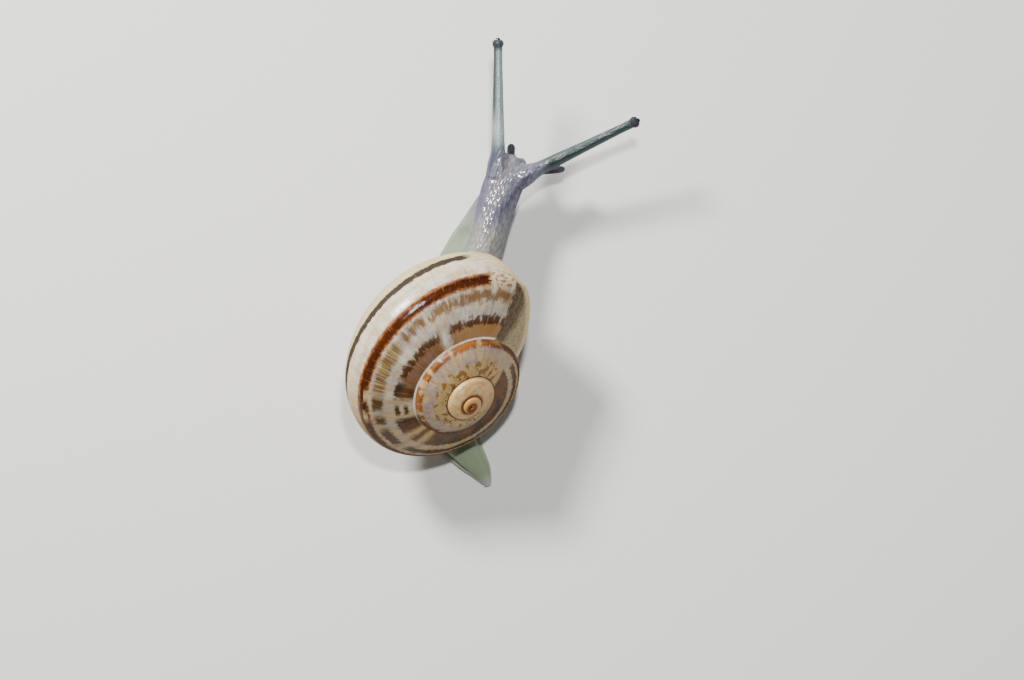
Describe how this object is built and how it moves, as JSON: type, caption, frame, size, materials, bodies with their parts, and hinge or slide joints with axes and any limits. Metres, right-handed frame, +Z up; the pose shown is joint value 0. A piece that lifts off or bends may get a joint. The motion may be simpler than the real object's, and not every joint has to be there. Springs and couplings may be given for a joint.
{
  "type": "striped land snail",
  "caption": "Crawling land snail at life size with a low spiral banded shell on its back, neck stretched forward and eye tentacles spread.",
  "frame": {"origin": "on the floor, on the flat sole of the foot under the middle of the body", "axes": "+Y forward towards the head, +X to the snail's right, +Z up"},
  "size_m": [0.0202, 0.0306, 0.0125],
  "materials": {
    "shell": "satin, cream with brown bands",
    "skin": "wet, slate grey",
    "foot_skin": "wet, pale and slightly translucent",
    "eye": "gloss black"
  },
  "bodies": {
    "root": {"shell": "shell", "back": "skin", "trunk": "skin", "neck": "skin", "head": "skin", "tentacle_left_lower": "skin", "tentacle_left_upper": "skin", "tentacle_left_tip": "skin", "tentacle_right_lower": "skin", "tentacle_right_upper": "skin", "tentacle_right_tip": "skin", "feeler_left": "skin", "feeler_right": "skin", "tail": "foot_skin", "foot_rear": "foot_skin", "foot_middle": "foot_skin", "foot_front": "foot_skin", "mantle_collar": "foot_skin", "eye_left": "eye", "eye_right": "eye"}
  },
  "joints": []
}
